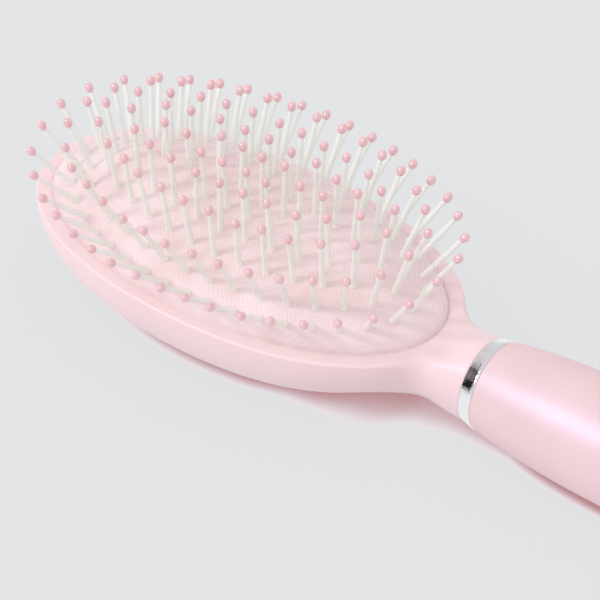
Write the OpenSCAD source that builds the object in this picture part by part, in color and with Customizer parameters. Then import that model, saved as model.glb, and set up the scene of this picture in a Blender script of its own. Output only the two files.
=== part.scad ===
// Oval air-cushion hairbrush: a boat-shaped head, a domed rubber pad, ball-tipped pins in four ovals
// round a middle group, a metallised collar and a round handle. It lies on its back with its pins up.
// X runs from the tip of the head to the end of the handle and Z is up. The origin lies under the
// middle of the pad, on the flat of the back that the brush rests on. Sizes are in millimetres.

/* [Cushion pad] */
// Length of the pad where it leaves the head
pad_l = 110; // [100:1:120]
// Width of the pad where it leaves the head
pad_w = 56; // [50:1:62]
// Height of the pad's crown above the rim of the head
pad_crown = 11.2; // [9:0.1:13]
// Thickness of the rubber
pad_wall = 1.4; // [1:0.1:1.8]
// Depth of the pad's skirt below the rim
skirt_h = 4; // [3:0.1:5]
// Distance that the bead at the foot of the skirt stands out
bead_w = 0.7; // [0.4:0.1:1]
// Height of that bead
bead_h = 1.4; // [1:0.1:2]

/* [Pin pattern] */
// Number of pins in each oval, outermost first
oval_pins = [38, 32, 26, 20]; // [12:2:44]
// Width of each oval of pins as a share of the pad's width
oval_w_share = [0.93, 0.797, 0.575, 0.329]; // [0.2:0.001:0.95]
// Length of each oval of pins as a share of the pad's length
oval_l_share = [0.882, 0.791, 0.709, 0.6]; // [0.5:0.001:0.92]
// Splay of the pins at the sides of each oval, in degrees
oval_side_splay = [49, 27, 8, 3]; // [0:1:52]
// Splay of the pins at the ends of each oval, in degrees
oval_end_splay = [31, 19, 9, 4]; // [0:1:40]
// Spacing of the middle pins along the brush
mid_pitch = 6.35; // [5.6:0.05:7]
// Distance between the two rows of middle pins
mid_gap = 5.2; // [4:0.1:7]
// Splay of the middle pins, in degrees
mid_splay = 3.5; // [0:0.5:8]

/* [Pins and ball tips] */
// Length of a pin from the pad to the middle of its ball
pin_l = 14.2; // [12:0.1:17]
// Diameter of a pin at the pad
pin_root_d = 1.7; // [1.4:0.05:2]
// Diameter of a pin at its ball
pin_end_d = 1.15; // [0.9:0.05:1.3]
// Diameter of the flange that keeps a pin under the pad
flange_d = 3.2; // [2.6:0.1:3.8]
// Thickness of that flange
flange_h = 0.8; // [0.5:0.1:1.2]
// Diameter of a ball tip
ball_d = 2.3; // [2:0.05:2.8]
// Length of a ball tip along its pin
ball_l = 2.9; // [2.4:0.05:3.4]
// Depth of the socket that takes the pin in a ball tip
socket_h = 1.5; // [1:0.1:1.8]

/* [Head] */
// Width of the rim's top face round the pad
rim_w = 3.4; // [2.8:0.1:5]
// Height of the rim above the flat of the back
head_h = 21; // [18:0.1:24]
// Radius of the rim's rounded upper edge
edge_r = 0.6; // [0.4:0.1:2]
// Fullness of the rim's outline, 2 for an ellipse
plan_fullness = 2.15; // [2:0.05:2.5]
// Fullness of the back from side to side, 2 for an ellipse
side_fullness = 2.6; // [2:0.05:3]
// Fullness of the back from end to end, 2 for an ellipse
keel_fullness = 2.2; // [2:0.05:3]
// Depth of the flat that is cut on the crown of the back
rest_cut = 0.4; // [0.2:0.1:0.8]
// Thickness of the back under the air chamber
back_wall = 2.6; // [1.8:0.1:4]
// Chamfer on the mouth of the pad's pocket
mouth_chamfer = 0.25; // [0.1:0.05:0.4]
// Width of the ledge that the pad's skirt stands on
ledge_w = 3; // [2.2:0.1:4]
// Length of the neck from the pad's end to the collar
neck_l = 13.75; // [11:0.25:20]
// Radius of the neck at the collar
neck_r = 10.25; // [9:0.05:11.5]
// Radius of the tang that carries the collar and the handle
tang_r = 6.5; // [5:0.1:8]
// Length of the tang beyond the neck
tang_l = 34; // [24:1:44]

/* [Collar] */
// Width of the collar along the handle
collar_w = 3.6; // [2.6:0.1:6]
// Distance that the collar stands proud of the neck and the handle
collar_proud = 0.15; // [0:0.05:0.4]
// Chamfer on the collar's edges
collar_chamfer = 0.3; // [0.1:0.05:0.6]

/* [Handle] */
// Length of the handle beyond the collar
handle_l = 98; // [86:1:115]
// Radius of the handle at the collar
handle_root_r = 11.1; // [10:0.05:12.5]
// Largest radius of the handle
handle_r = 14; // [13:0.05:15.5]
// Distance from the collar to the handle's thickest place
handle_belly = 43; // [36:1:50]
// Sharpness of the handle's swelling from the collar
handle_swell = 2.6; // [2:0.1:3]
// Radius of the handle where its rounded end begins
handle_end_r = 10.5; // [9:0.1:12]
// Length of the handle's rounded end
handle_end_l = 7; // [5:0.1:9]
// Chamfer on the handle's edge at the collar
handle_chamfer = 0.3; // [0.1:0.05:0.6]

/* [Clearances] */
// Gap between the pad and the head
pad_gap = 0.25; // [0.2:0.01:0.4]
// Gap between a pin and its hole in the pad
pin_gap = 0.1; // [0.06:0.01:0.15]
// Gap between a pin's flange and the pad
flange_gap = 0.5; // [0.4:0.05:0.8]
// Gap between the tang and what it carries, and between a pin and its ball
fit_gap = 0.03; // [0.02:0.01:0.08]

/* [Hidden] */
$fn = 16;

// Heights and lengths that several pieces share
rim_z = head_h;
axis_z = handle_r;
head_half_l = pad_l / 2 + rim_w;
head_half_w = pad_w / 2 + rim_w;
neck_end = pad_l / 2 + neck_l;
handle_start = neck_end + collar_w;
ledge_z = rim_z - skirt_h;

// An eased step from 0 at the value a to 1 at the value b
function ease(x, a, b) =
  let (s = min(1, max(0, (x - a) / (b - a))))
  s * s * (3 - 2 * s);

// A rounded maximum of two lengths, which fillets the place where they cross
function round_max(a, b) = pow(pow(a, 3) + pow(b, 3), 1 / 3);

// An oval row of points at one height
function oval_row(half_l, half_w, z, n) =
  [for (j = [0 : n - 1]) [half_l * cos(360 * j / n), half_w * sin(360 * j / n), z]];

// Faces that join rows of n points each, from the first row to the last, and close both ends. Each end
// is a fan of triangles from the point hub of its row, which isn't in line with its neighbours.
function row_faces(rows, n, hub = 0) = [
  for (i = [0 : rows - 2], j = [0 : n - 1])
    for (f = [
      [i * n + j, (i + 1) * n + (j + 1) % n, i * n + (j + 1) % n],
      [i * n + j, (i + 1) * n + j, (i + 1) * n + (j + 1) % n]
    ]) f,
  for (j = [1 : n - 2])
    let (last = (rows - 1) * n, a = (hub + j) % n, b = (hub + j + 1) % n)
    for (f = [[hub, a, b], [last + hub, last + b, last + a]]) f
];

// The dome of the pad: its level lines are the ovals of the pins. A level is named by its width as
// a share of the pad's width, 1 at the rim and 0 at the ridge. The last single pin of the middle
// group stands last_single spacings from the middle of the pad, and the ridge ends just short of it.
last_single = 3.5;
mid_level = mid_gap / pad_w;
level_lengths = concat(
  [[0, (last_single - 0.3) * mid_pitch], [mid_level, (last_single + 0.3) * mid_pitch]],
  [for (k = [3 : -1 : 0]) [oval_w_share[k], oval_l_share[k] * pad_l / 2]],
  [[1, pad_l / 2]]
);
function level_half_l(level) = lookup(level, level_lengths);
function level_rise(level) = sqrt(1 - level * level);

// Rows of the dome, from its rim to a narrow flat on its ridge, set in from the outer face
dome_points = 3 * $fn;
ridge_angle = 87;
function dome_rows(inset, steps) = [
  for (i = [0 : steps])
    let (level = cos(ridge_angle * i / steps))
    oval_row(
      level_half_l(level) - inset * level,
      level * (pad_w / 2 - inset),
      rim_z + (pad_crown - inset) * level_rise(level),
      dome_points
    )
];

// One straight row of the pad's skirt, at a distance out from its outer face
function skirt_row(out, z) = oval_row(pad_l / 2 + out, pad_w / 2 + out, z, dome_points);

// Rubber diaphragm with a skirt and a bead at its foot, drawn from the inside of the crown down to
// the foot and up again over the outside
module pad_body() {
  outer_steps = 11;
  inner_steps = 7;
  inner = dome_rows(pad_wall, inner_steps);
  outer = dome_rows(0, outer_steps);
  foot_z = ledge_z + pad_gap;
  rows = concat(
    [for (i = [inner_steps : -1 : 0]) inner[i]],
    [
      skirt_row(-pad_wall, foot_z),
      skirt_row(bead_w, foot_z),
      skirt_row(bead_w, foot_z + bead_h),
      skirt_row(0, foot_z + bead_h + bead_w / 2)
    ],
    outer
  );
  polyhedron(
    points = [for (r = rows) each r],
    faces = row_faces(len(rows), dome_points)
  );
}

// Places of the pins. Each place is [foot on the pad, splay, heading].
// The table gives the angle round an ellipse at each length along it, so that pins sit evenly.
function length_table(a, b) = [
  for (t = 0, s = 0; t <= 360; s = s + norm([a * sin(t + 0.5), b * cos(t + 0.5)]) * PI / 180, t = t + 1)
    [s, t]
];
function oval_places(k) =
  let (
    a = oval_l_share[k] * pad_l / 2,
    b = oval_w_share[k] * pad_w / 2,
    table = length_table(a, b),
    whole = table[360][0],
    z = rim_z + pad_crown * level_rise(oval_w_share[k])
  )
  [
    for (i = [0 : oval_pins[k] - 1])
      let (
        t = lookup(whole * i / oval_pins[k], table),
        n = [b * cos(t), a * sin(t)] / norm([b * cos(t), a * sin(t)])
      )
      [
        [a * cos(t), b * sin(t), z],
        norm([oval_end_splay[k] * n.x, oval_side_splay[k] * n.y]),
        atan2(n.y, n.x)
      ]
  ];

// The middle group: four pairs of pins in two rows, and two single pins beyond each end of them
mid_z = rim_z + pad_crown * level_rise(mid_level);
function middle_places() = concat(
  [
    for (side = [-1, 1], i = [-1.5 : 1 : 1.5])
      [[i * mid_pitch, side * mid_gap / 2, mid_z], mid_splay, side * 90]
  ],
  [
    for (end = [-1, 1], i = [last_single - 1, last_single])
      [[end * i * mid_pitch, 0, mid_z], mid_splay, end > 0 ? 0 : 180]
  ]
);

module at_places(places) {
  for (p = places)
    translate(p[0])
      rotate([0, p[1], p[2]])
        children();
}

// Moulded nylon pin, along Z from its foot on the outer face of the pad
socket_foot = pin_l - ball_l / 2 * sqrt(1 - pow(pin_end_d / ball_d, 2));
module pin() {
  flange_top = -pad_wall - flange_gap;
  pin_top = socket_foot + socket_h - fit_gap;
  rotate_extrude()
    polygon([
      [0, flange_top - flange_h],
      [flange_d / 2, flange_top - flange_h],
      [flange_d / 2, flange_top],
      [pin_root_d / 2, flange_top],
      [pin_root_d / 2, 0],
      [pin_end_d / 2, socket_foot],
      [pin_end_d / 2, pin_top],
      [0, pin_top]
    ]);
}

// Egg-shaped tip with a blind socket for the end of the pin
module ball_tip() {
  socket_r = pin_end_d / 2 + fit_gap;
  start = -acos(2 * socket_r / ball_d);
  steps = 9;
  rotate_extrude()
    polygon(concat(
      [[0, socket_foot + socket_h], [socket_r, socket_foot + socket_h]],
      [
        for (i = [0 : steps])
          let (t = start + (90 - start) * i / steps)
          [i == steps ? 0 : ball_d / 2 * cos(t), pin_l + ball_l / 2 * sin(t)]
      ]
    ));
}

module pin_hole() {
  translate([0, 0, -2 * pad_wall])
    cylinder(h = 4 * pad_wall, d = pin_root_d + 2 * pin_gap);
}

// Cross-sections of the head along X. Each blends from the boat-shaped head, with its flat rim and
// rounded edge, to the round neck. The boat is as full as the three values of the head say.
section_edge = 5;
section_flat = 4;
section_under = 11;
widest_z = rim_z - edge_r;
keel = widest_z + rest_cut;
swell_from = 0.32 * pad_l;
swell_to = 0.54 * pad_l;
turn_from = 0.45 * pad_l;
turn_to = neck_end - 0.05 * neck_l;
neck_root_depth = 0.8 * (widest_z - axis_z + neck_r);
fillet_l = 0.22 * neck_l;
fillet_steps = 4;
function boat(x, fullness) = pow(max(0, 1 - pow(abs(x) / head_half_l, fullness)), 1 / fullness);
function near_neck(x) = ease(x, swell_from, swell_to);

// Width and depth at x, averaged a little way along X where the neck begins, so that no crease shows
function stretch(x) = [
  for (i = [-fillet_steps : fillet_steps])
    x + fillet_l * ease(x, swell_from, pad_l / 2) * i / fillet_steps
];
function mean(values) = values * [for (v = values) 1 / len(values)];
function boat_half_w(x) =
  mean([for (a = stretch(x)) round_max(head_half_w * boat(a, plan_fullness), neck_r * near_neck(a))]);
function boat_depth(x) =
  mean([for (a = stretch(x)) round_max(keel * boat(a, keel_fullness), neck_root_depth * near_neck(a))]);
function tip_round(x) =
  let (s = min(1, max(0, (-x - head_half_l + edge_r) / edge_r)))
  sqrt(1 - s * s);

// Half a section, from the top centre line down one side to the keel, as [distance from it, z]
function boat_section(x) =
  let (
    w = boat_half_w(x),
    r = min(edge_r, w),
    rise = edge_r * tip_round(x),
    d = boat_depth(x),
    power = 2 / side_fullness
  )
  concat(
    [for (i = [0 : section_flat - 1]) [(w - r) * i / section_flat, widest_z + rise]],
    [
      for (i = [0 : section_edge - 1])
        let (t = 90 - 90 * i / section_edge)
        [w - r + r * cos(t), widest_z + rise * sin(t)]
    ],
    [
      for (i = [0 : section_under])
        let (t = 90 * i / section_under)
        [w * pow(cos(t), power), widest_z - d * pow(sin(t), power)]
    ]
  );
function neck_arc(from, to, steps) = [
  for (i = [0 : steps])
    let (t = from + (to - from) * i / steps)
    [neck_r * cos(t), axis_z + neck_r * sin(t)]
];
function neck_section() =
  let (upper = neck_arc(90, 0, section_flat + section_edge))
  concat(
    [for (i = [0 : len(upper) - 2]) upper[i]],
    neck_arc(0, -90, section_under)
  );

// The blend of both. Its top stays level to the end of the pad's pocket, and rises to the neck from there.
function half_section(x) =
  let (
    k = ease(x, turn_from, turn_to),
    blend = (1 - k) * boat_section(x) + k * neck_section(),
    side_z = (1 - k) * widest_z + k * axis_z,
    lag = k - ease(x, pad_l / 2 + pad_gap, turn_to),
    keep = 1 - lag * (axis_z + neck_r - rim_z) / (blend[0].y - side_z)
  )
  [for (p = blend) [p.x, p.y > side_z ? side_z + keep * (p.y - side_z) : p.y]];
function full_section(x) =
  let (half = half_section(x), last = len(half) - 1)
  concat(
    [for (p = half) [x, -p.x, p.y]],
    [for (i = [last - 1 : -1 : 1]) [x, half[i].x, half[i].y]]
  );

// Solid outside of the head and neck, lofted through its sections
module head_loft() {
  tip_steps = 20;
  boat_steps = 9;
  neck_steps = 16;
  first = head_half_l * cos(90 / tip_steps / 3);
  stations = concat(
    [-first],
    [for (i = [1 : tip_steps]) -head_half_l * cos(90 * i / tip_steps)],
    [for (i = [1 : boat_steps]) turn_from * i / boat_steps],
    [for (i = [1 : neck_steps]) turn_from + (neck_end - turn_from) * i / neck_steps]
  );
  rows = [for (x = stations) full_section(x)];
  keel_point = len(rows[0]) / 2;
  polyhedron(
    points = [for (r = rows) each r],
    faces = row_faces(len(rows), len(rows[0]), keel_point)
  );
}

// Oval prism between two heights, a distance out from the pad's outer face
module pad_prism(out, z0, z1) {
  translate([0, 0, z0])
    scale([(pad_l / 2 + out) / (pad_w / 2 + out), 1, 1])
      cylinder(h = z1 - z0, r = pad_w / 2 + out, $fn = 120);
}

// Flared oval that breaks the sharp edge of the pocket's mouth
module mouth_flare() {
  mouth_w = pad_w / 2 + pad_gap;
  translate([0, 0, rim_z - 2 * mouth_chamfer])
    scale([(pad_l / 2 + pad_gap) / mouth_w, 1, 1])
      cylinder(
        h = 3 * mouth_chamfer,
        r1 = mouth_w - mouth_chamfer,
        r2 = mouth_w + 2 * mouth_chamfer,
        $fn = 120
      );
}

module head_shell() {
  chamber_half_l = pad_l / 2 - ledge_w;
  chamber_half_w = pad_w / 2 - ledge_w;
  chamber_depth = ledge_z - back_wall;
  color("pink") {
    difference() {
      head_loft();
      translate([-head_half_l, -head_half_w, -head_h])
        cube([2 * head_half_l, 2 * head_half_w, head_h]);
      pad_prism(pad_gap, ledge_z, rim_z + edge_r);
      mouth_flare();
      pad_prism(bead_w + pad_gap, ledge_z, ledge_z + bead_h + bead_w / 2 + 2 * pad_gap);
      translate([0, 0, ledge_z])
        scale([chamber_half_l, chamber_half_w, chamber_depth])
          sphere(r = 1, $fn = 120);
    }
    translate([neck_end - edge_r, 0, axis_z])
      rotate([0, 90, 0])
        cylinder(h = tang_l + edge_r, r = tang_r);
  }
}

module cushion_pad() {
  color("mistyrose")
    difference() {
      pad_body();
      for (k = [0 : 3])
        at_places(oval_places(k))
          pin_hole();
      at_places(middle_places())
        pin_hole();
    }
}

module pins(places) {
  color("ivory")
    at_places(places)
      pin();
}

module ball_tips(places) {
  color("palevioletred")
    at_places(places)
      ball_tip();
}

// Turned outline, given as [distance along the handle's axis, radius], spun round that axis
module turned(outline) {
  translate([0, 0, axis_z])
    rotate([90, 0, 90])
      rotate_extrude($fn = 72)
        polygon([for (p = outline) [p.y, p.x]]);
}

module collar() {
  neck_side = neck_r + collar_proud;
  handle_side = handle_root_r + collar_proud;
  bore = tang_r + fit_gap;
  color("gainsboro")
    turned([
      [neck_end, bore],
      [neck_end, neck_side - collar_chamfer],
      [neck_end + collar_chamfer, neck_side],
      [handle_start - collar_chamfer, handle_side],
      [handle_start, handle_side - collar_chamfer],
      [handle_start, bore]
    ]);
}

// The handle swells from the collar to its belly, narrows again and ends in a half ellipse
end_start = handle_l - handle_end_l;
function handle_radius(s) =
  s < handle_belly
    ? handle_r - (handle_r - handle_root_r) * pow(1 - s / handle_belly, handle_swell)
    : handle_r - (handle_r - handle_end_r) * pow((s - handle_belly) / (end_start - handle_belly), 2);

module handle() {
  swell_steps = 14;
  taper_steps = 12;
  end_steps = 8;
  bore = tang_r + fit_gap;
  glue_space = 1;
  bore_end = neck_end + tang_l + glue_space;
  color("lightpink")
    turned(concat(
      [
        [bore_end, 0],
        [bore_end, bore],
        [handle_start, bore],
        [handle_start, handle_root_r - handle_chamfer],
        [handle_start + handle_chamfer, handle_radius(handle_chamfer)]
      ],
      [
        for (i = [1 : swell_steps])
          let (s = handle_belly * i / swell_steps)
          [handle_start + s, handle_radius(s)]
      ],
      [
        for (i = [1 : taper_steps])
          let (s = handle_belly + (end_start - handle_belly) * i / taper_steps)
          [handle_start + s, handle_radius(s)]
      ],
      [
        for (i = [1 : end_steps])
          let (t = 90 * i / end_steps)
          [handle_start + end_start + handle_end_l * sin(t), i == end_steps ? 0 : handle_end_r * cos(t)]
      ]
    ));
}

head_shell();
cushion_pad();
pins(oval_places(0));  // pins_oval_1
pins(oval_places(1));  // pins_oval_2
pins(oval_places(2));  // pins_oval_3
pins(oval_places(3));  // pins_oval_4
pins(middle_places());  // pins_middle
ball_tips(oval_places(0));  // ball_tips_oval_1
ball_tips(oval_places(1));  // ball_tips_oval_2
ball_tips(oval_places(2));  // ball_tips_oval_3
ball_tips(oval_places(3));  // ball_tips_oval_4
ball_tips(middle_places());  // ball_tips_middle
collar();
handle();
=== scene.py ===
"""Oval air-cushion hairbrush that lies on its back with its pins up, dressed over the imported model.

Each section makes one kind of piece. Shapes are worked out in millimetres in the model's own axes: X
runs from the tip of the head to the end of the handle, Z is up and the floor is at 0.
"""

import bmesh
import bpy
import numpy as np
from mathutils import Matrix


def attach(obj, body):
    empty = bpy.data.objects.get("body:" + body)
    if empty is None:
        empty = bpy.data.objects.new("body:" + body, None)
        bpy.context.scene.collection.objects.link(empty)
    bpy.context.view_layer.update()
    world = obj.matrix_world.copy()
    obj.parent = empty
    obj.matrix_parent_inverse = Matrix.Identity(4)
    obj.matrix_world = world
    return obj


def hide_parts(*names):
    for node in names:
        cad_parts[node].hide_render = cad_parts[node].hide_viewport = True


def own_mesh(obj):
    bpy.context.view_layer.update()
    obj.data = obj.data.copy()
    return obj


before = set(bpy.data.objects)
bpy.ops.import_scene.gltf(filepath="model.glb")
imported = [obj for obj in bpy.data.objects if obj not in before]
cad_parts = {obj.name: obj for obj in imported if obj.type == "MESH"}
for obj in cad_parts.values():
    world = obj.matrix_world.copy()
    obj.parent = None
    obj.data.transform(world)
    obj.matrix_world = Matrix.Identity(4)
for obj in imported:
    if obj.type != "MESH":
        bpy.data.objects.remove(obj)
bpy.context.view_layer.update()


# Head: one boat-shaped moulding of glossy pale pink ABS. Its flat rim has a rounded edge outside and a
# small radius inside, where the pocket for the pad begins. Towards the handle it turns into a round
# neck, whose end the collar covers.
RIM_Z = 21.0
AXIS_Z = 14.0
PAD_HALF_L = 55.0
PAD_HALF_W = 28.0
HEAD_HALF_L = 58.4
HEAD_HALF_W = 31.4
EDGE_R = 0.6
WIDEST_Z = RIM_Z - EDGE_R
KEEL_DEPTH = WIDEST_Z + 0.4
NECK_R = 10.25
NECK_END = 68.75
NECK_ROOT_DEPTH = 0.8 * (WIDEST_Z - AXIS_Z + NECK_R)
SWELL_FROM, SWELL_TO = 0.64 * PAD_HALF_L, 1.08 * PAD_HALF_L
TURN_FROM, TURN_TO = 0.9 * PAD_HALF_L, NECK_END - 0.69
FILLET = 3.0
OUTLINE_POWER = 2.15
KEEL_POWER = 2.2
BACK_POWER = 0.77
JOIN_POWER = 3
RIM_ANGLE = 50
NECK_EDGE_R = 0.25
NECK_CAP = 0.7
POCKET_GAP = 0.25
POCKET_EDGE_R = 0.25
POCKET_DEPTH = 3.5
MOUTH_STEPS = 160


def ease(x, start, end):
    """Eased step from 0 at start to 1 at end, level at both."""
    share = np.clip((x - start) / (end - start), 0, 1)
    return share * share * (3 - 2 * share)


def head_section(x, part, t):
    """Half section across the head at x, as its distance y from the middle plane and its height z.

    The part "top" runs from the middle, t 0, to the rounded edge, t 1. The part "edge" is a quarter
    circle, and the part "back" a quarter of a superellipse down to the keel. Width and depth along x
    are superellipses too, averaged a little way along x where the neck begins. Each point moves to its
    place on the neck's circle as the section turns, and what lies above the sides is pressed down so
    that the top is level to the end of the pocket.
    """
    near = x + FILLET * ease(x, SWELL_FROM, PAD_HALF_L) * np.linspace(-1, 1, 9)
    reach = np.clip(np.abs(near) / HEAD_HALF_L, 0, 1)
    swell = ease(near, SWELL_FROM, SWELL_TO)
    oval = HEAD_HALF_W * (1 - reach**OUTLINE_POWER) ** (1 / OUTLINE_POWER)
    keel = KEEL_DEPTH * (1 - reach**KEEL_POWER) ** (1 / KEEL_POWER)
    width = (oval**JOIN_POWER + (NECK_R * swell) ** JOIN_POWER) ** (1 / JOIN_POWER)
    depth = (keel**JOIN_POWER + (NECK_ROOT_DEPTH * swell) ** JOIN_POWER) ** (1 / JOIN_POWER)
    width, depth = width.mean(1, keepdims=True), depth.mean(1, keepdims=True)
    rise = EDGE_R * np.sqrt(1 - np.clip((-x - HEAD_HALF_L + EDGE_R) / EDGE_R, 0, 1) ** 2)
    radius = np.minimum(EDGE_R, width)
    if part == "top":
        y, z = (width - radius) * t, WIDEST_Z + rise + 0 * t
        angle = 90 - (90 - RIM_ANGLE) * t
    elif part == "edge":
        swept = np.radians(90 * (1 - t))
        y, z = width - radius + radius * np.cos(swept), WIDEST_Z + rise * np.sin(swept)
        angle = RIM_ANGLE * (1 - t)
    else:
        swept = np.radians(90 * t)
        y, z = width * np.cos(swept) ** BACK_POWER, WIDEST_Z - depth * np.sin(swept) ** BACK_POWER
        angle = -90 * t
    turn = ease(x, TURN_FROM, TURN_TO)
    angle = np.radians(angle)
    y = (1 - turn) * y + turn * NECK_R * np.cos(angle)
    z = (1 - turn) * z + turn * (AXIS_Z + NECK_R * np.sin(angle))
    side_z = (1 - turn) * WIDEST_Z + turn * AXIS_Z
    blend_rise = (1 - turn) * rise + turn * NECK_R
    lag = turn - ease(x, PAD_HALF_L + POCKET_GAP, TURN_TO)
    keep = 1 - lag * (AXIS_Z + NECK_R - RIM_Z) / np.maximum(blend_rise, 1e-6)
    z = np.where(z > side_z, side_z + keep * (z - side_z), z)
    return y, np.maximum(z, 0)


def grid_faces(rows, columns, closed=False):
    """Four-sided faces of a grid of points numbered row by row, closed round its columns or not."""
    i = np.arange(rows - 1)[:, None]
    j = np.arange(columns if closed else columns - 1)[None, :]
    k = (j + 1) % columns
    corners = [i * columns + j, i * columns + k, (i + 1) * columns + k, (i + 1) * columns + j]
    return np.stack(np.broadcast_arrays(*corners), -1).reshape(-1, 4)


def add_piece(name, grids, material, slot, body, *nodes):
    """Makes one smooth piece from grids of points in millimetres with their faces, and joins the seams.

    It rides on the body, wears the material and stands for the CAD nodes. The slot is not used.
    """
    points = np.concatenate([p.reshape(-1, 3) for p, _ in grids]) * 0.001
    starts = np.cumsum([0] + [p.size // 3 for p, _ in grids])
    faces = np.concatenate([f + start for (_, f), start in zip(grids, starts)])
    mesh = bpy.data.meshes.new(name)
    mesh.from_pydata(points.tolist(), [], faces.tolist())
    built = bmesh.new()
    built.from_mesh(mesh)
    bmesh.ops.remove_doubles(built, verts=built.verts, dist=1e-6)
    bmesh.ops.recalc_face_normals(built, faces=built.faces)
    built.to_mesh(mesh)
    built.free()
    mesh.shade_smooth()
    piece = bpy.data.objects.new(name, mesh)
    bpy.context.collection.objects.link(piece)
    mesh.materials.append(material)
    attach(piece, body)
    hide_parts(*nodes)
    return piece


def srgb(colour):
    """Linear colour of an sRGB hex colour."""
    share = np.array([int(colour[i : i + 2], 16) for i in (1, 3, 5)]) / 255
    linear = np.where(share <= 0.04045, share / 12.92, ((share + 0.055) / 1.055) ** 2.4)
    return (*linear.tolist(), 1.0)


def add_node(tree, kind, inputs, to=None, **settings):
    """Adds one node to a tree. Inputs are values or sockets, and the first output goes to a socket."""
    made = tree.nodes.new(kind)
    for key, value in settings.items():
        setattr(made, key, value)
    for key, value in inputs.items():
        if isinstance(value, bpy.types.NodeSocket):
            tree.links.new(value, made.inputs[key])
        else:
            made.inputs[key].default_value = value
    if to:
        tree.links.new(made.outputs[0], to)
    return made


def new_material(name, values):
    """Makes a material with these shader values. Returns it, its tree, shader and coordinates."""
    material = bpy.data.materials.new(name)
    material.use_nodes = True
    tree = material.node_tree
    shader = tree.nodes["Principled BSDF"]
    for key, value in values.items():
        shader.inputs[key].default_value = value
    return material, tree, shader, add_node(tree, "ShaderNodeTexCoord", {}).outputs["Object"]


def vary_colour(tree, shader, where, size, dark, light):
    """Varies the base colour between two hex colours in soft patches of this size in millimetres."""
    patches = add_node(
        tree, "ShaderNodeTexNoise", {"Vector": where, "Scale": 1000 / size, "Detail": 2.0}
    )
    ramp = add_node(
        tree, "ShaderNodeValToRGB", {"Fac": patches.outputs["Fac"]}, to=shader.inputs["Base Color"]
    )
    ramp.color_ramp.elements[0].position = 0.3
    ramp.color_ramp.elements[0].color = srgb(dark)
    ramp.color_ramp.elements[1].position = 0.7
    ramp.color_ramp.elements[1].color = srgb(light)


def vary_roughness(tree, shader, where, size, low, high):
    """Varies the roughness between two values in soft patches of this size in millimetres."""
    patches = add_node(
        tree, "ShaderNodeTexNoise", {"Vector": where, "Scale": 1000 / size, "Detail": 3.0}
    )
    add_node(
        tree,
        "ShaderNodeMapRange",
        {"Value": patches.outputs["Fac"], "To Min": low, "To Max": high},
        to=shader.inputs["Roughness"],
    )


# Gloss ABS straight from a polished mould: clear soft lights on the edges, a faint orange peel and a
# colour that drifts a little with the flow. The thin light lilac line along the rim's outer edge is a
# painted highlight, which fades out towards the neck.
HEAD_FLOW = 18.0
HEAD_GLOSS = 5.0
HIGHLIGHT_LINE_DROP = 0.14
HIGHLIGHT_LINE_HALF_W = 0.06
HIGHLIGHT_LINE_END = 40.0
PEEL_PITCH = 1.7
PEEL_DEPTH = 0.008

head_abs, tree, shader, where = new_material(
    "abs_gloss_moulded_pink",
    {
        "IOR": 1.5,
        "Specular Tint": srgb("#EBD6FF"),
        "Subsurface Weight": 0.1,
        "Subsurface Radius": (0.9, 0.5, 0.5),
        "Subsurface Scale": 0.002,
    },
)
vary_colour(tree, shader, where, HEAD_FLOW, "#EDD1D4", "#F0D6D8")
ramp = shader.inputs["Base Color"].links[0].from_node
# Painted highlight: the ramp's lightest stop is the colour of the thin line along the rim's edge.
ramp.color_ramp.elements.new(0.9).color = srgb("#F0D6D8")
ramp.color_ramp.elements.new(1.0).color = srgb("#F2D9E1")
axes = add_node(tree, "ShaderNodeSeparateXYZ", {"Vector": where})
highlight_line_z = add_node(
    tree,
    "ShaderNodeMath",
    {0: axes.outputs["Z"], 1: (RIM_Z - HIGHLIGHT_LINE_DROP) * 0.001, 2: HIGHLIGHT_LINE_HALF_W * 0.001},
    operation="COMPARE",
)
highlight_line_fade = add_node(
    tree,
    "ShaderNodeMapRange",
    {
        "Value": axes.outputs["X"],
        "From Min": HIGHLIGHT_LINE_END * 0.001,
        "From Max": TURN_FROM * 0.001,
        "To Min": 1.0,
        "To Max": 0.0,
    },
)
highlight_line = add_node(
    tree, "ShaderNodeMath", {0: highlight_line_z.outputs[0], 1: highlight_line_fade.outputs[0]}, operation="MULTIPLY"
)
# Painted highlight: a band just below the rim's edge, fading towards the neck, lifts the ramp to the
# top.
patches = ramp.inputs["Fac"].links[0].from_socket
add_node(
    tree,
    "ShaderNodeMath",
    {0: patches, 1: highlight_line.outputs[0]},
    to=ramp.inputs["Fac"],
    operation="MAXIMUM",
)
vary_roughness(tree, shader, where, HEAD_GLOSS, 0.33, 0.41)
peel = add_node(
    tree, "ShaderNodeTexNoise", {"Vector": where, "Scale": 1000 / PEEL_PITCH, "Detail": 2.0}
)
add_node(
    tree,
    "ShaderNodeBump",
    {"Height": peel.outputs["Fac"], "Distance": PEEL_DEPTH * 0.001},
    to=shader.inputs["Normal"],
)

mouth_l = PAD_HALF_L + POCKET_GAP + POCKET_EDGE_R
mouth_w = PAD_HALF_W + POCKET_GAP + POCKET_EDGE_R
mouth_turn = np.linspace(np.pi, 0, MOUTH_STEPS + 1)
tip_x = -HEAD_HALF_L + (HEAD_HALF_L - mouth_l) * np.linspace(0, 1, 17)[:-1] ** 2
neck_x = np.linspace(mouth_l, NECK_END - NECK_EDGE_R, 36)[1:]
end_turn = np.radians([15, 30, 50, 70, 90, 90])
end_x = NECK_END - NECK_EDGE_R * (1 - np.sin(end_turn))
station_x = np.concatenate([tip_x, mouth_l * np.cos(mouth_turn), neck_x, end_x])[:, None]
mouth_y = np.concatenate([0 * tip_x, mouth_w * np.sin(mouth_turn), 0 * neck_x, 0 * end_x])

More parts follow.
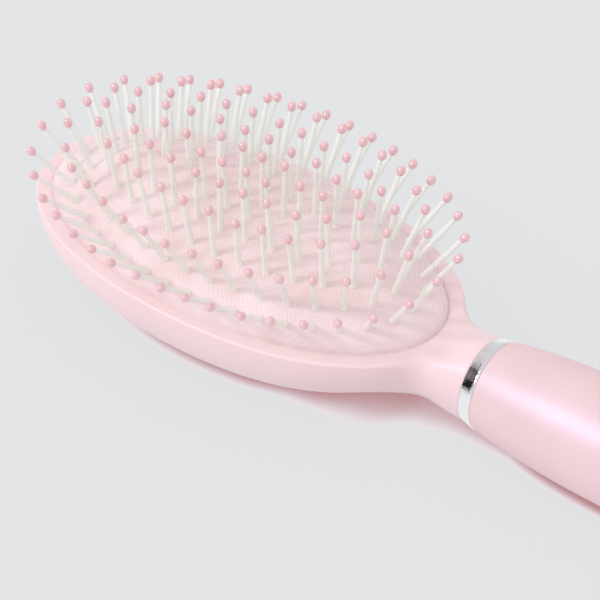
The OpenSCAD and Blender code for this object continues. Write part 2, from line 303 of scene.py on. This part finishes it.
top_t = np.linspace(0, 1, 81)
top_y, _ = head_section(station_x, "top", top_t)
first_t = np.array([np.interp(y, row, top_t) for y, row in zip(mouth_y, top_y)])[:, None]
parts = [
    head_section(station_x, "top", first_t + (1 - first_t) * np.linspace(0, 1, 9)),
    head_section(station_x, "edge", np.linspace(0, 1, 11)[1:]),
    head_section(station_x, "back", np.linspace(0, 1, 37)[1:]),
]
half_y = np.concatenate([part[0] for part in parts], 1)
half_z = np.concatenate([part[1] for part in parts], 1)
shrink = np.ones_like(station_x)
shrink[-len(end_turn) :, 0] = 1 - NECK_EDGE_R / NECK_R * (1 - np.cos(end_turn))
shrink[-1] = NECK_CAP
half_y = half_y * shrink
half_z = AXIS_Z + (half_z - AXIS_Z) * shrink
half_x = np.broadcast_to(station_x, half_y.shape)
half_faces = grid_faces(*half_y.shape)

mouth_angle = np.linspace(0, 2 * np.pi, 2 * MOUTH_STEPS + 1)[:-1]
mouth_top = half_z[len(tip_x) : len(tip_x) + len(mouth_turn), 0][::-1]
mouth_top = np.concatenate([mouth_top, mouth_top[-2:0:-1]])
lip_turn = np.radians(np.linspace(0, 90, 6))[:, None]
wall_out = np.concatenate([POCKET_GAP + POCKET_EDGE_R * (1 - np.sin(lip_turn)), [[POCKET_GAP]]])
wall_drop = np.concatenate([POCKET_EDGE_R * (1 - np.cos(lip_turn)), [[POCKET_DEPTH]]])
wall = np.stack(
    np.broadcast_arrays(
        (PAD_HALF_L + wall_out) * np.cos(mouth_angle),
        (PAD_HALF_W + wall_out) * np.sin(mouth_angle),
        mouth_top - wall_drop,
    ),
    -1,
)
add_piece(
    "head",
    [
        (np.stack([half_x, half_y, half_z], -1), half_faces),
        (np.stack([half_x, -half_y, half_z], -1), half_faces[:, ::-1]),
        (wall, grid_faces(*wall.shape[:2], closed=True)),
    ],
    head_abs,
    "head_abs",
    "brush",
    "head_shell",
)


# Cushion pad: a domed diaphragm of pale pink rubber, moulded with a fine grid of points on its outside.
# Its level lines are the ovals of the pins, and its skirt snaps into the pocket of the head. It is
# drawn in a little round each pin.
PAD_CROWN = 11.2
SKIRT_DROP = [1.5, 0.1, 0.03]
SKIRT_OUT = [0.24, 0.24, 0.16]
DIMPLE_DEPTH = 0.12
DIMPLE_R = 1.5
GRID_PITCH = 1.3
OVAL_PINS = [38, 32, 26, 20]
OVAL_W = [0.93, 0.797, 0.575, 0.329]
OVAL_L = [0.882, 0.791, 0.709, 0.6]
SIDE_SPLAY = [49, 27, 8, 3]
END_SPLAY = [31, 19, 9, 4]
MID_PITCH = 6.35
MID_GAP = 5.2
MID_SPLAY = 3.5
LAST_SINGLE = 3.5
RIDGE_LEVEL = MID_GAP / (2 * PAD_HALF_W)
RIDGE_SLACK = 0.3
PIN_STRAY = 1.2


def level_rise(level):
    """Height of a level line of the pad above the rim. A level is its share of the pad's width."""
    return PAD_CROWN * np.sqrt(np.maximum(0, 1 - level * level))


def level_half_l(level):
    """Half length of a level line: a smooth curve through the ovals of the pins, the ridge and the rim.

    Between two of these it is a cubic with the mean slope of the neighbouring stretches at each end.
    """
    at = np.array([0, RIDGE_LEVEL, *OVAL_W[::-1], 1])
    ridge = [(LAST_SINGLE - RIDGE_SLACK) * MID_PITCH, (LAST_SINGLE + RIDGE_SLACK) * MID_PITCH]
    length = np.array([*ridge, *(share * PAD_HALF_L for share in OVAL_L[::-1]), PAD_HALF_L])
    slope = np.gradient(length, at)
    i = np.clip(np.searchsorted(at, level, "right") - 1, 0, len(at) - 2)
    step = at[i + 1] - at[i]
    s = (level - at[i]) / step
    rest = 1 - s
    ends = rest * rest * (1 + 2 * s) * length[i] + s * s * (3 - 2 * s) * length[i + 1]
    return ends + step * s * rest * (rest * slope[i] - s * slope[i + 1])


def oval_places(k):
    """Feet and directions of the pins of one oval, evenly spaced and splayed along its normals."""
    a, b = OVAL_L[k] * PAD_HALF_L, OVAL_W[k] * PAD_HALF_W
    turn = np.linspace(0, 2 * np.pi, 721)
    steps = np.hypot(np.diff(a * np.cos(turn)), np.diff(b * np.sin(turn)))
    along = np.concatenate([[0], np.cumsum(steps)])
    turn = np.interp(np.arange(OVAL_PINS[k]) / OVAL_PINS[k] * along[-1], along, turn)
    normal = np.stack([b * np.cos(turn), a * np.sin(turn)], 1)
    normal = normal / np.linalg.norm(normal, axis=1, keepdims=True)
    splay = np.radians(np.hypot(END_SPLAY[k] * normal[:, 0], SIDE_SPLAY[k] * normal[:, 1]))
    foot_z = np.full(len(turn), RIM_Z + level_rise(OVAL_W[k]))
    feet = np.stack([a * np.cos(turn), b * np.sin(turn), foot_z], 1)
    return feet, np.stack([*(np.sin(splay) * normal.T), np.cos(splay)], 1)


def middle_places():
    """Feet and directions of the middle pins: four pairs, and two single pins beyond each end."""
    pairs = [(i, side) for side in (-0.5, 0.5) for i in (-1.5, -0.5, 0.5, 1.5)]
    singles = [(end * i, 0) for end in (-1, 1) for i in (LAST_SINGLE - 1, LAST_SINGLE)]
    spots = np.array(pairs + singles)
    foot_z = np.full(len(spots), RIM_Z + level_rise(RIDGE_LEVEL))
    lean = np.sin(np.radians(MID_SPLAY))
    lean_x = np.where(spots[:, 1] == 0, np.sign(spots[:, 0]) * lean, 0)
    lean_y = np.sign(spots[:, 1]) * lean
    feet = np.stack([spots[:, 0] * MID_PITCH, spots[:, 1] * MID_GAP, foot_z], 1)
    return feet, np.stack([lean_x, lean_y, np.full(len(spots), np.cos(np.radians(MID_SPLAY)))], 1)


PIN_GROUPS = {f"oval_{k + 1}": oval_places(k) for k in range(4)}
PIN_GROUPS["middle"] = middle_places()
strays = np.random.default_rng(5)
for _, direction in PIN_GROUPS.values():
    direction[:, :2] += strays.normal(0, np.radians(PIN_STRAY), (len(direction), 2))
    direction /= np.linalg.norm(direction, axis=1, keepdims=True)

# Matt rubber: a soft bloom at the edges, hardly any gloss, and the mould's fine grid of raised points,
# whose tops carry a painted highlight: they are drawn a little lighter.
PAD_FLOW = 12.0
PAD_GLOSS = 4.0
GRID_HEIGHT = 0.045
GRID_HIGHLIGHT_TINT = 0.05

pad_rubber, tree, shader, where = new_material(
    "rubber_moulded_pale_pink",
    {
        "Specular IOR Level": 0.35,
        "Sheen Weight": 0.15,
        "Sheen Roughness": 0.4,
        "Subsurface Weight": 0.1,
        "Subsurface Radius": (0.8, 0.4, 0.4),
        "Subsurface Scale": 0.001,
    },
)
vary_colour(tree, shader, where, PAD_FLOW, "#E6CBCE", "#EFDADC")
vary_roughness(tree, shader, where, PAD_GLOSS, 0.34, 0.46)
axes = add_node(tree, "ShaderNodeSeparateXYZ", {"Vector": where})
turns_each = 2 * np.pi * 1000 / GRID_PITCH
waves = []
for axis in "XY":
    turns = add_node(
        tree, "ShaderNodeMath", {0: axes.outputs[axis], 1: turns_each}, operation="MULTIPLY"
    )
    waves.append(add_node(tree, "ShaderNodeMath", {0: turns.outputs[0]}, operation="SINE").outputs[0])
raised = add_node(tree, "ShaderNodeMath", {0: waves[0], 1: waves[1]}, operation="MULTIPLY")
add_node(
    tree,
    "ShaderNodeBump",
    {"Height": raised.outputs[0], "Distance": GRID_HEIGHT * 0.001},
    to=shader.inputs["Normal"],
)
ramp = shader.inputs["Base Color"].links[0].from_node
patches = ramp.inputs["Fac"].links[0].from_socket
# Painted highlight: the raised points are drawn a little lighter in the base colour.
add_node(
    tree,
    "ShaderNodeMath",
    {0: raised.outputs[0], 1: GRID_HIGHLIGHT_TINT, 2: patches},
    to=ramp.inputs["Fac"],
    operation="MULTIPLY_ADD",
)

dome_turn = np.radians(np.linspace(0, 90, 73))[:, None]
level = np.cos(dome_turn)
round_turn = np.linspace(0, 2 * np.pi, 361)[:-1]
dome_x = level_half_l(level) * np.cos(round_turn)
dome_y = level * PAD_HALF_W * np.sin(round_turn)
dome_z = RIM_Z + level_rise(level) + 0 * round_turn
for feet, _ in PIN_GROUPS.values():
    for foot in feet:
        far = (dome_x - foot[0]) ** 2 + (dome_y - foot[1]) ** 2 + (dome_z - foot[2]) ** 2
        dome_z = dome_z - DIMPLE_DEPTH * np.exp(-far / DIMPLE_R**2)
dome = np.stack([dome_x, dome_y, dome_z], -1)
skirt_x = (PAD_HALF_L + np.array(SKIRT_OUT)[:, None]) * np.cos(round_turn)
skirt_y = (PAD_HALF_W + np.array(SKIRT_OUT)[:, None]) * np.sin(round_turn)
skirt = np.stack(np.broadcast_arrays(skirt_x, skirt_y, RIM_Z - np.array(SKIRT_DROP)[:, None]), -1)
shell = np.concatenate([skirt, dome])
pad = add_piece(
    "cushion_pad_rubber",
    [(shell, grid_faces(*shell.shape[:2], closed=True))],
    pad_rubber,
    "pad_rubber",
    "brush",
    "cushion_pad",
)
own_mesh(pad)


# Pins: tapered rods of milky nylon, pushed through the pad from inside and held there by a flange. Each
# oval of pins moves by itself, so it is one piece.
PIN_L = 14.2
PIN_ROOT_R = 0.85
PIN_END_R = 0.575
PIN_SIDES = 16


def spun_pieces(places, along, radius, sides):
    """Points and faces of one outline, given along an axis, that is spun round it at each place."""
    feet, axes = places
    across = np.cross(axes, [0, 1, 0])
    across = across / np.linalg.norm(across, axis=1, keepdims=True)
    upright = np.cross(axes, across)
    turn = np.linspace(0, 2 * np.pi, sides + 1)[:-1]
    ring = np.cos(turn)[:, None] * across[:, None] + np.sin(turn)[:, None] * upright[:, None]
    points = (
        feet[:, None, None]
        + axes[:, None, None] * along[:, None, None]
        + ring[:, None] * radius[:, None, None]
    )
    faces = grid_faces(len(along), sides, closed=True)
    return [(one, faces) for one in points]


# Milky nylon: a clouded rod that lets some of what is behind it through, so that it looks soft, with a
# dull gloss. The rod is solid, so the far side of its skin, met from within, is clear.
PIN_FLOW = 6.0
PIN_GLOSS = 2.0
PIN_COVER = 0.7

pin_nylon, tree, shader, where = new_material("nylon_moulded_milky", {"IOR": 1.53})
inside = add_node(tree, "ShaderNodeNewGeometry", {}).outputs["Backfacing"]
add_node(
    tree,
    "ShaderNodeMath",
    {0: inside, 1: -PIN_COVER, 2: PIN_COVER},
    to=shader.inputs["Alpha"],
    operation="MULTIPLY_ADD",
)
vary_colour(tree, shader, where, PIN_FLOW, "#EAEDE6", "#EEF1EA")
vary_roughness(tree, shader, where, PIN_GLOSS, 0.35, 0.45)

pin_along = np.array([-1.0, -0.25, 0.35, 5.0, 10.0, PIN_L])
pin_radius = np.interp(pin_along, [0, PIN_L], [PIN_ROOT_R, PIN_END_R])
for group, places in PIN_GROUPS.items():
    add_piece(
        f"pins_{group}_nylon",
        spun_pieces(places, pin_along, pin_radius, PIN_SIDES),
        pin_nylon,
        "pin_nylon",
        f"{group}_pins",
        f"pins_{group}",
    )


# Ball tips: egg-shaped drops of rose pink resin on the ends of the pins, which keep them from
# scratching. They are glossy, and each oval of them goes with its pins.
BALL_R = 1.12
BALL_HALF_L = 1.36
BALL_SIDES = 12

# Dipped resin: a smooth wet-looking skin with a small clear light on each drop.
TIP_FLOW = 3.0
TIP_GLOSS = 1.0

tip_resin, tree, shader, where = new_material(
    "resin_dipped_rose",
    {"IOR": 1.5, "Coat Weight": 1.0, "Coat IOR": 2.2, "Coat Roughness": 0.34},
)
vary_colour(tree, shader, where, TIP_FLOW, "#E4AEB7", "#E9BAC1")
vary_roughness(tree, shader, where, TIP_GLOSS, 0.22, 0.32)

ball_turn = np.radians(np.linspace(-90, 90, 8))
ball_along = PIN_L + BALL_HALF_L * np.sin(ball_turn)
ball_radius = BALL_R * np.cos(ball_turn)
for group, places in PIN_GROUPS.items():
    add_piece(
        f"ball_tips_{group}_resin",
        spun_pieces(places, ball_along, ball_radius, BALL_SIDES),
        tip_resin,
        "tip_resin",
        f"{group}_pins",
        f"ball_tips_{group}",
    )


# Collar: a conical band with chamfered edges, metallised bright over plastic, slid on the tang between
# the neck and the handle. The thin plating follows a slightly uneven moulding.
COLLAR_W = 3.6
COLLAR_PROUD = 0.15
COLLAR_EDGE = 0.3
COLLAR_SIDES = 160
HANDLE_START = NECK_END + COLLAR_W
HANDLE_ROOT_R = 11.1
TANG_R = 6.5


def turned(along, radius, sides):
    """Grid of an outline, given along X, that is spun round the axis of the handle."""
    turn = np.linspace(0, 2 * np.pi, sides + 1)[:-1]
    along, radius = np.asarray(along)[:, None], np.asarray(radius)[:, None]
    spun = [along + 0 * turn, radius * np.cos(turn), AXIS_Z + radius * np.sin(turn)]
    return np.stack(spun, -1), grid_faces(len(along), sides, closed=True)


# Metallised plastic: bright as chrome, but its skin is finely uneven, so that dark and light break up
# in small specks.
SKIN_GLOSS = 1.5
SKIN_PITCH = 0.4
SKIN_DEPTH = 0.05

collar_chrome, tree, shader, where = new_material(
    "chrome_metallised_ring", {"Base Color": srgb("#EAEAEC"), "Metallic": 1.0}
)
vary_roughness(tree, shader, where, SKIN_GLOSS, 0.08, 0.16)
specks = add_node(
    tree, "ShaderNodeTexNoise", {"Vector": where, "Scale": 1000 / SKIN_PITCH, "Detail": 2.0}
)
add_node(
    tree,
    "ShaderNodeBump",
    {"Height": specks.outputs["Fac"], "Distance": SKIN_DEPTH * 0.001},
    to=shader.inputs["Normal"],
)

bevel_turn = np.radians(np.linspace(0, 90, 6))
bevel = COLLAR_EDGE * (1 - np.cos(bevel_turn))
bevel_out = COLLAR_EDGE * (1 - np.sin(bevel_turn))
flank = np.linspace(NECK_END + COLLAR_EDGE, HANDLE_START - COLLAR_EDGE, 5)
flank_r = np.interp(flank, [NECK_END, HANDLE_START], [NECK_R, HANDLE_ROOT_R]) + COLLAR_PROUD
collar_along = [
    NECK_END,
    *(NECK_END + bevel),
    *flank[1:-1],
    *(HANDLE_START - bevel[::-1]),
    HANDLE_START,
]
collar_radius = [
    TANG_R,
    *(flank_r[0] - bevel_out),
    *flank_r[1:-1],
    *(flank_r[-1] - bevel_out[::-1]),
    TANG_R,
]
add_piece(
    "collar_band",
    [turned(collar_along, collar_radius, COLLAR_SIDES)],
    collar_chrome,
    "collar_chrome",
    "brush",
    "collar",
)


# Handle: a round moulding in pearl pink ABS, glued on the tang. It swells from the collar to a belly,
# which rests on the floor, narrows again and ends in a soft dome.
HANDLE_L = 98.0
HANDLE_R = 14.0
HANDLE_BELLY = 43.0
HANDLE_SWELL = 2.6
HANDLE_END_R = 10.5
HANDLE_END_L = 7.0
HANDLE_EDGE = 0.3
HANDLE_SIDES = 128

# ABS with a pearl pigment: a broad soft light with a lilac cast lies over the pink, and the flakes give
# it a very fine grain. The grain is drawn coarser than the real flakes so that it shows.
HANDLE_FLOW = 16.0
HANDLE_GLOSS = 3.0
FLAKE_PITCH = 0.25
FLAKE_DEPTH = 0.004

handle_abs, tree, shader, where = new_material(
    "abs_pearl_moulded_pink",
    {"IOR": 2.1, "Specular IOR Level": 1.0, "Specular Tint": srgb("#D6D3FF")},
)
vary_colour(tree, shader, where, HANDLE_FLOW, "#EBC6BF", "#EFCCC4")
vary_roughness(tree, shader, where, HANDLE_GLOSS, 0.46, 0.52)
flakes = add_node(
    tree, "ShaderNodeTexNoise", {"Vector": where, "Scale": 1000 / FLAKE_PITCH, "Detail": 1.0}
)
add_node(
    tree,
    "ShaderNodeBump",
    {"Height": flakes.outputs["Fac"], "Distance": FLAKE_DEPTH * 0.001},
    to=shader.inputs["Normal"],
)

end_start = HANDLE_L - HANDLE_END_L
swell_at = np.linspace(HANDLE_EDGE, HANDLE_BELLY, 30)
taper_at = np.linspace(HANDLE_BELLY, end_start, 26)[1:]
dome_at = np.radians(np.linspace(0, 90, 20))[1:]
swell_r = HANDLE_R - (HANDLE_R - HANDLE_ROOT_R) * (1 - swell_at / HANDLE_BELLY) ** HANDLE_SWELL
taper_share = (taper_at - HANDLE_BELLY) / (end_start - HANDLE_BELLY)
taper_r = HANDLE_R - (HANDLE_R - HANDLE_END_R) * taper_share**2
edge_turn = np.radians(np.linspace(0, 75, 5))
edge_at = HANDLE_EDGE * (1 - np.cos(edge_turn))
edge_r = swell_r[0] - HANDLE_EDGE * (1 - np.sin(edge_turn))
handle_along = [0, *edge_at, *swell_at, *taper_at, *(end_start + HANDLE_END_L * np.sin(dome_at))]
handle_radius = [TANG_R, *edge_r, *swell_r, *taper_r, *(HANDLE_END_R * np.cos(dome_at))]
add_piece(
    "handle_grip",
    [turned(HANDLE_START + np.array(handle_along), handle_radius, HANDLE_SIDES)],
    handle_abs,
    "handle_abs",
    "brush",
    "handle",
)


# Stage: a pale floor without an edge in view, one soft light from the front left, even light from all
# round and a dark card that only reflections see. The camera stands where the photograph was taken.
# Here sizes and places are in metres, apart from the floor's shade, which is in millimetres.
FLOOR_HALF = 20.0
FLOOR_DROP = 0.00002
SHADE_X = [14.0, 28.0, 40.0, 50.0, 62.0, 80.0]
SHADE_REACH = [4.2, 4.8, 7.4, 9.8, 7.0, 3.4]
SHADE_SHARE = 0.88
BACKDROP = "#E4E5E7"
DEEP_SHADE = "#B87E83"
PALE_GLOW = "#EFE7EC"
KEY_SIZE = 1.3
KEY_WATTS = 116.0
KEY_FROM = (-0.46, -0.6, 0.66)
KEY_FAR = 6.0
BRUSH_AT = (0.06, 0.0, 0.02)
COLLAR_AT = (0.0705, 0.0, 0.014)
CARD_HALF = 0.23
CARD_FROM = (-0.84, -0.43, 0.34)
CARD_FAR = 0.55
AROUND_LEVEL = 0.95
CAMERA_TURN = [37.98, 41.06, -1.13]
CAMERA_AT = (0.4001, -0.4922, 0.5551)
CAMERA_LENS = 210.0

# Matt paper: an even pale grey. Close to the brush it takes a painted deep pink shade that fades out
# through a painted pale pink glow, and reflections meet it as white paper with the same painted shade.
floor_paper, tree, shader, where = new_material(
    "paper_matt_pale", {"Base Color": srgb("#D4D5D7"), "Roughness": 1.0, "Specular IOR Level": 0.0}
)
path = add_node(tree, "ShaderNodeLightPath", {})
along = add_node(tree, "ShaderNodeSeparateXYZ", {"Vector": where})
stretch = add_node(
    tree, "ShaderNodeMath", {0: along.outputs["X"], 1: 1000 / SHADE_X[-1]}, operation="MULTIPLY"
)
reaches = add_node(tree, "ShaderNodeValToRGB", {"Fac": stretch.outputs[0]})
reaches.color_ramp.interpolation = "CARDINAL"
for at in SHADE_X[1:-1]:
    reaches.color_ramp.elements.new(at / SHADE_X[-1])
for element, at, reach in zip(reaches.color_ramp.elements, SHADE_X, SHADE_REACH):
    element.position = at / SHADE_X[-1]
    element.color = (*[reach / max(SHADE_REACH)] * 3, 1.0)
reach = add_node(
    tree,
    "ShaderNodeMath",
    {0: reaches.outputs["Color"], 1: max(SHADE_REACH) * 0.001},
    operation="MULTIPLY",
)
near = add_node(tree, "ShaderNodeAmbientOcclusion", {"Distance": reach.outputs[0]})
shade = add_node(tree, "ShaderNodeValToRGB", {"Fac": near.outputs["AO"]})
shade.color_ramp.elements[0].position = 0.4
shade.color_ramp.elements[0].color = srgb(DEEP_SHADE)
shade.color_ramp.elements[1].position = 0.93
shade.color_ramp.elements[1].color = srgb(BACKDROP)
# Painted glow: a pale pink stop, lighter than the backdrop, rings the painted shade.
shade.color_ramp.elements.new(0.8).color = srgb(PALE_GLOW)
glow = add_node(tree, "ShaderNodeEmission", {"Color": shade.outputs["Color"]})
seen = add_node(
    tree, "ShaderNodeMixShader", {"Fac": SHADE_SHARE, 1: shader.outputs[0], 2: glow.outputs[0]}
)
white = add_node(tree, "ShaderNodeBsdfDiffuse", {"Color": srgb("#D9DADC")})
mirrored = add_node(tree, "ShaderNodeValToRGB", {"Fac": near.outputs["AO"]})
mirrored.color_ramp.elements[0].position = 0.3
mirrored.color_ramp.elements[0].color = srgb(DEEP_SHADE)
mirrored.color_ramp.elements[1].position = 0.85
mirrored.color_ramp.elements[1].color = srgb("#FFFFFF")
bright = add_node(tree, "ShaderNodeEmission", {"Color": mirrored.outputs["Color"]})
lit = add_node(
    tree,
    "ShaderNodeMixShader",
    {"Fac": path.outputs["Is Glossy Ray"], 1: white.outputs[0], 2: bright.outputs[0]},
)
add_node(
    tree,
    "ShaderNodeMixShader",
    {"Fac": path.outputs["Is Camera Ray"], 1: lit.outputs[0], 2: seen.outputs[0]},
    to=tree.nodes["Material Output"].inputs["Surface"],
)
floor_mesh = bpy.data.meshes.new("floor")
corners = [(-1, -1), (1, -1), (1, 1), (-1, 1)]
floor_points = [(FLOOR_HALF * x, FLOOR_HALF * y, -FLOOR_DROP) for x, y in corners]
floor_mesh.from_pydata(floor_points, [], [(0, 1, 2, 3)])
floor_mesh.materials.append(floor_paper)
floor = bpy.data.objects.new("floor", floor_mesh)
bpy.context.collection.objects.link(floor)


def facing(direction, far, about):
    """Matrix of an object far out along a direction from a point, whose own -Z looks back at it."""
    back = np.array(direction) / np.linalg.norm(direction)
    right = np.cross([0, 0, 1], back)
    right = right / np.linalg.norm(right)
    turned_axes = np.stack([right, np.cross(back, right), back], 1)
    return Matrix.Translation(np.array(about) + far * back) @ Matrix(turned_axes.tolist()).to_4x4()


key_data = bpy.data.lights.new("key", "AREA")
key_data.shape = "DISK"
key_data.size = KEY_SIZE
key_data.energy = KEY_WATTS
key = bpy.data.objects.new("key", key_data)
bpy.context.collection.objects.link(key)
key.matrix_world = facing(KEY_FROM, KEY_FAR, BRUSH_AT)

# Matt black card: it shows only as the dark patch in the collar.
card_black, tree, shader, where = new_material(
    "card_matt_black", {"Base Color": srgb("#0A0A0A"), "Roughness": 1.0, "Specular IOR Level": 0.0}
)
card_mesh = bpy.data.meshes.new("dark_card")
card_points = [(CARD_HALF * x, CARD_HALF * y, 0) for x, y in corners]
card_mesh.from_pydata(card_points, [], [(0, 1, 2, 3)])
card_mesh.materials.append(card_black)
card = bpy.data.objects.new("dark_card", card_mesh)
bpy.context.collection.objects.link(card)
card.matrix_world = facing(CARD_FROM, CARD_FAR, COLLAR_AT)
card.visible_camera = False
card.visible_diffuse = False
card.visible_shadow = False
card.visible_transmission = False

world = bpy.data.worlds.new("studio")
world.use_nodes = True
tree = world.node_tree
path = add_node(tree, "ShaderNodeLightPath", {})
around = add_node(
    tree, "ShaderNodeBackground", {"Color": srgb("#FFFFFF"), "Strength": AROUND_LEVEL}
)
backdrop = add_node(tree, "ShaderNodeBackground", {"Color": srgb(BACKDROP)})
shown = add_node(
    tree,
    "ShaderNodeMath",
    {0: path.outputs["Is Camera Ray"], 1: path.outputs["Is Glossy Ray"]},
    operation="MAXIMUM",
)
add_node(
    tree,
    "ShaderNodeMixShader",
    {"Fac": shown.outputs[0], 1: around.outputs[0], 2: backdrop.outputs[0]},
    to=tree.nodes["World Output"].inputs["Surface"],
)
bpy.context.scene.world = world

azimuth, elevation, roll = np.radians(CAMERA_TURN)
level_back = np.array([np.sin(azimuth), -np.cos(azimuth), 0])
back = np.cos(elevation) * level_back + np.sin(elevation) * np.array([0, 0, 1])
level_right = np.array([np.cos(azimuth), np.sin(azimuth), 0])
level_up = np.cross(back, level_right)
right = np.cos(roll) * level_right + np.sin(roll) * level_up
up = np.cos(roll) * level_up - np.sin(roll) * level_right
camera_data = bpy.data.cameras.new("camera")
camera_data.sensor_width = 36.0
camera_data.lens = CAMERA_LENS
camera_data.clip_start = 0.01
camera = bpy.data.objects.new("camera", camera_data)
bpy.context.collection.objects.link(camera)
camera_axes = Matrix(np.stack([right, up, back], 1).tolist()).to_4x4()
camera.matrix_world = Matrix.Translation(CAMERA_AT) @ camera_axes
bpy.context.scene.camera = camera

bpy.context.scene.view_settings.view_transform = "Standard"
